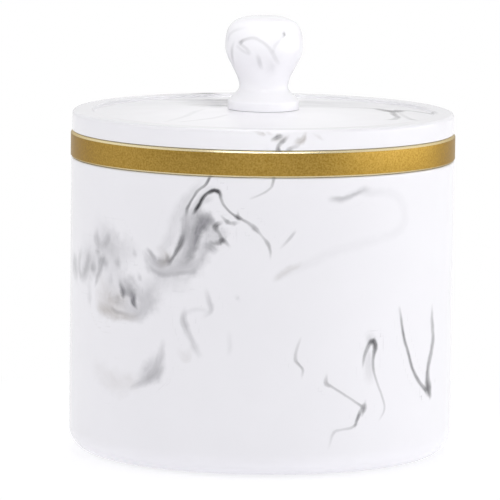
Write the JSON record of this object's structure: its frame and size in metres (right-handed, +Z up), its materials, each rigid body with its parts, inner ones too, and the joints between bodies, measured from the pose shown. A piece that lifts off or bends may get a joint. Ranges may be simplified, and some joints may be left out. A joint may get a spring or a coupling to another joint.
{
  "type": "cotton swab jar",
  "caption": "Round marble-look resin jar for cotton swabs, with a satin gold ring round its mouth and a lift-off plug lid with a turned knob.",
  "frame": {"origin": "middle of the base, on the plane that the four foot pads stand on", "axes": "+Z up along the jar's axis, through the knob; -Y is the pictured front, +X is to its right"},
  "size_m": [0.1002, 0.1002, 0.1144],
  "materials": {
    "marble_resin": "polished cast polyester resin, white with grey ink-like marble veins",
    "satin_gold": "satin gold anodised aluminium with a fine grain",
    "clear_silicone": "milky clear moulded silicone",
    "pad_rubber": "matt pale non-slip rubber",
    "brass": "turned brass",
    "zinc_steel": "bright zinc plated steel"
  },
  "bodies": {
    "jar": {"jar_body": "marble_resin", "gold_band": "satin_gold", "foot_pad_front_left": "pad_rubber", "foot_pad_front_right": "pad_rubber", "foot_pad_back_left": "pad_rubber", "foot_pad_back_right": "pad_rubber"},
    "seal": {"seal_ring": "clear_silicone"},
    "lid": {"lid": "marble_resin", "knob": "marble_resin", "knob_insert": "brass", "knob_screw": "zinc_steel", "screw_washer": "zinc_steel"}
  },
  "joints": [
    {"name": "lid_lift", "type": "slide", "parent": "jar", "child": "seal", "axis": [0, 0, 1], "range_m": [0, 0.1]},
    {"name": "lid_turn", "type": "hinge", "parent": "seal", "child": "lid", "pos_m": [0, 0, 0.0817], "axis": [0, 0, 1], "continuous": true}
  ]
}
